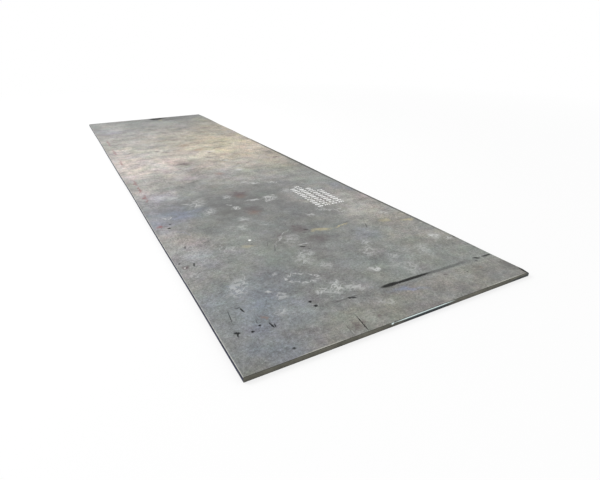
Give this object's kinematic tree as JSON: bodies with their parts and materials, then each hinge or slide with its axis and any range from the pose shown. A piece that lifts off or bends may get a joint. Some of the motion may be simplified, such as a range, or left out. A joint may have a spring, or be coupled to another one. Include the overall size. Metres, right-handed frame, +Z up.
{
  "type": "hot-rolled steel plate",
  "caption": "Heavy hot-rolled steel plate lying flat: rounded as-rolled long edges, square flame-cut ends, grey mill scale on both faces.",
  "frame": {"origin": "middle of the underside", "axes": "+Y along the plate's length, which is the rolling direction, from the near end to the far end; +X across the width, from the left long edge to the right one; +Z up through the thickness"},
  "size_m": [2.2, 8, 0.035],
  "materials": {
    "mill_scale_steel": "satin",
    "marking_paint": "matte"
  },
  "bodies": {
    "root": {"steel_plate": "mill_scale_steel"}
  },
  "joints": []
}
